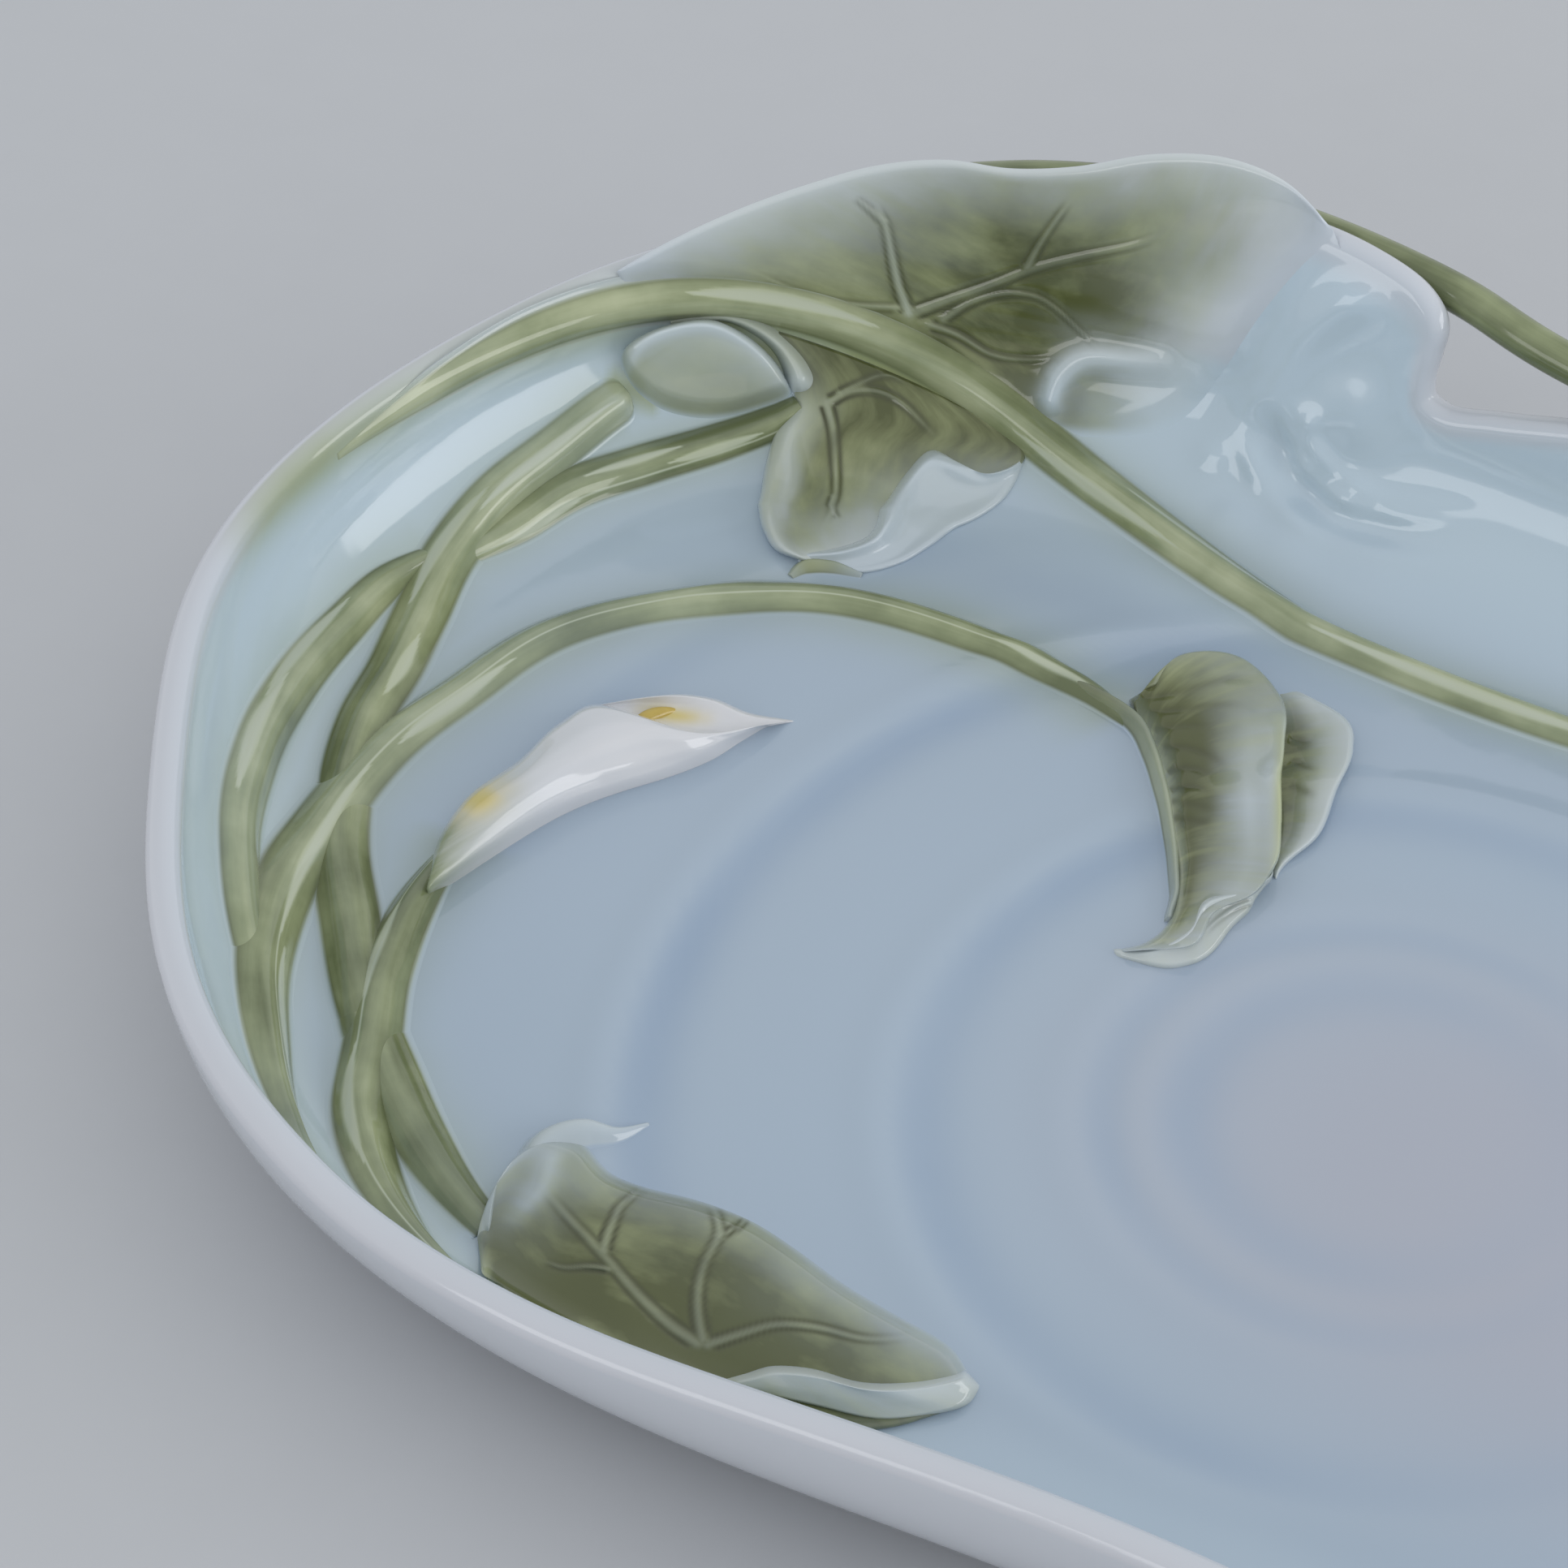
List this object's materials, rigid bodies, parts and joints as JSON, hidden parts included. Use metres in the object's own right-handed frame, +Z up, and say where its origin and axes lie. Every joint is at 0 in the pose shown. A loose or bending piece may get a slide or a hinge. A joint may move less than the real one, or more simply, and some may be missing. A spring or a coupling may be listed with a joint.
{
  "type": "decorative dish",
  "caption": "Free-form glazed dish with a rolled rim, a raised crest and notch bridged by a vine, and applied stems, leaves and a calla bud inside; stands on a foot ring and holds small things.",
  "frame": {"origin": "middle of the whole object's bounding box in plan, on the plane that the foot ring stands on", "axes": "+X along the length of the dish towards its plain end, +Y towards the crest and notch at the back, +Z up"},
  "size_m": [0.327, 0.2029, 0.0563],
  "materials": {
    "glaze": "gloss",
    "stem_green": "gloss",
    "leaf_green": "gloss",
    "leaf_edge": "gloss",
    "petal": "gloss",
    "pollen": "gloss"
  },
  "bodies": {
    "root": {"dish_body": "glaze", "foot_ring": "glaze", "main_vine": "stem_green", "arching_stem": "stem_green", "bud_stem": "stem_green", "stalk_upper": "stem_green", "stalk_middle": "stem_green", "front_leaf_stalk": "stem_green", "outer_stem": "stem_green", "leaf_stalk": "stem_green", "middle_leaf_roll": "leaf_green", "middle_leaf_fold": "leaf_edge", "middle_leaf": "leaf_green", "back_leaf": "leaf_green", "curled_leaf": "leaf_green", "curled_leaf_back": "leaf_green", "front_leaf_fold": "leaf_edge", "front_leaf": "leaf_green", "bud_spathe": "petal", "bud_spadix": "pollen", "handle_vine": "stem_green"}
  },
  "joints": []
}
